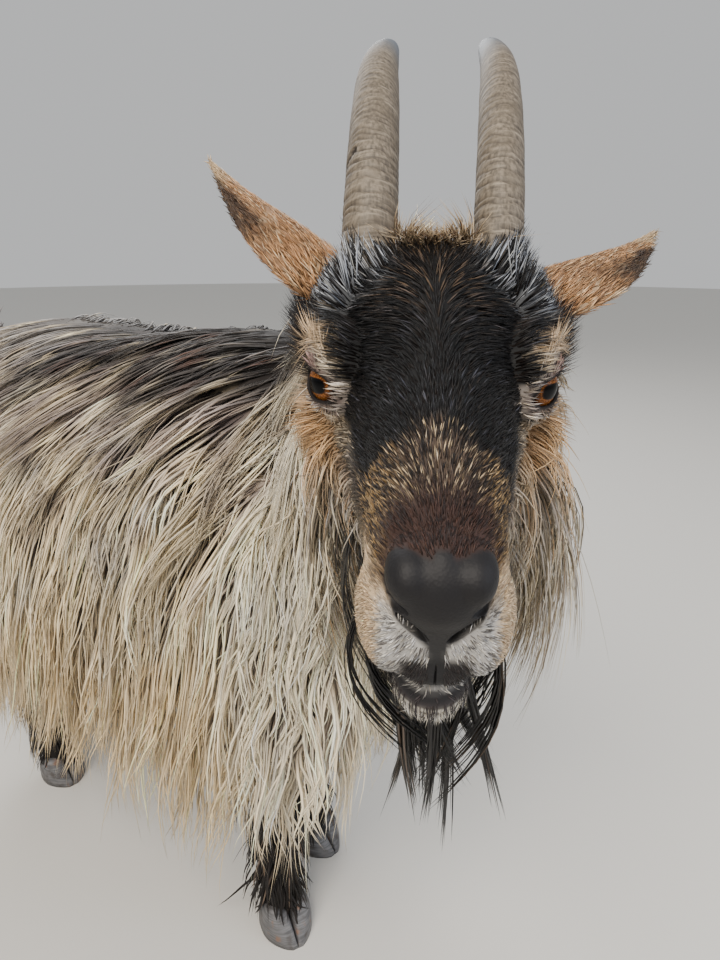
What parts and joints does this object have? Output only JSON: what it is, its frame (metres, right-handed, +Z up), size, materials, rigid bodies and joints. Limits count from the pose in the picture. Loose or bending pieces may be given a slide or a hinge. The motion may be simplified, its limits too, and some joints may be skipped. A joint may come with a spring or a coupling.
{
  "type": "pygmy goat",
  "caption": "Still, life-size long-haired pygmy goat standing with its horned head reached out and turned to its right.",
  "frame": {"origin": "on the ground, under the middle of the whole animal's box", "axes": "+X from the tail towards the breast, +Y to the goat's left, +Z up"},
  "size_m": [0.7877, 0.4068, 0.6905],
  "materials": {
    "coat": "long cream locks, matte",
    "face coat": "black mask with tan and cream, matte",
    "leg coat": "shaggy black hair, matte",
    "ear coat": "short tan hair, matte",
    "eye": "amber, wet gloss",
    "horn": "ringed horn, satin",
    "hoof": "grey horn, satin"
  },
  "bodies": {
    "root": {"torso": "coat", "neck": "coat", "tail": "coat", "head": "face coat", "ear_right": "ear coat", "ear_left": "ear coat", "eye_right": "eye", "eye_left": "eye", "horn_right": "horn", "horn_left": "horn", "leg_fore_right": "leg coat", "claw_fore_right_outer": "hoof", "dewclaw_fore_right_outer": "hoof", "claw_fore_right_inner": "hoof", "dewclaw_fore_right_inner": "hoof", "leg_fore_left": "leg coat", "claw_fore_left_outer": "hoof", "dewclaw_fore_left_outer": "hoof", "claw_fore_left_inner": "hoof", "dewclaw_fore_left_inner": "hoof", "leg_hind_right": "leg coat", "claw_hind_right_outer": "hoof", "dewclaw_hind_right_outer": "hoof", "claw_hind_right_inner": "hoof", "dewclaw_hind_right_inner": "hoof", "leg_hind_left": "leg coat", "claw_hind_left_outer": "hoof", "dewclaw_hind_left_outer": "hoof", "claw_hind_left_inner": "hoof", "dewclaw_hind_left_inner": "hoof"}
  },
  "joints": []
}
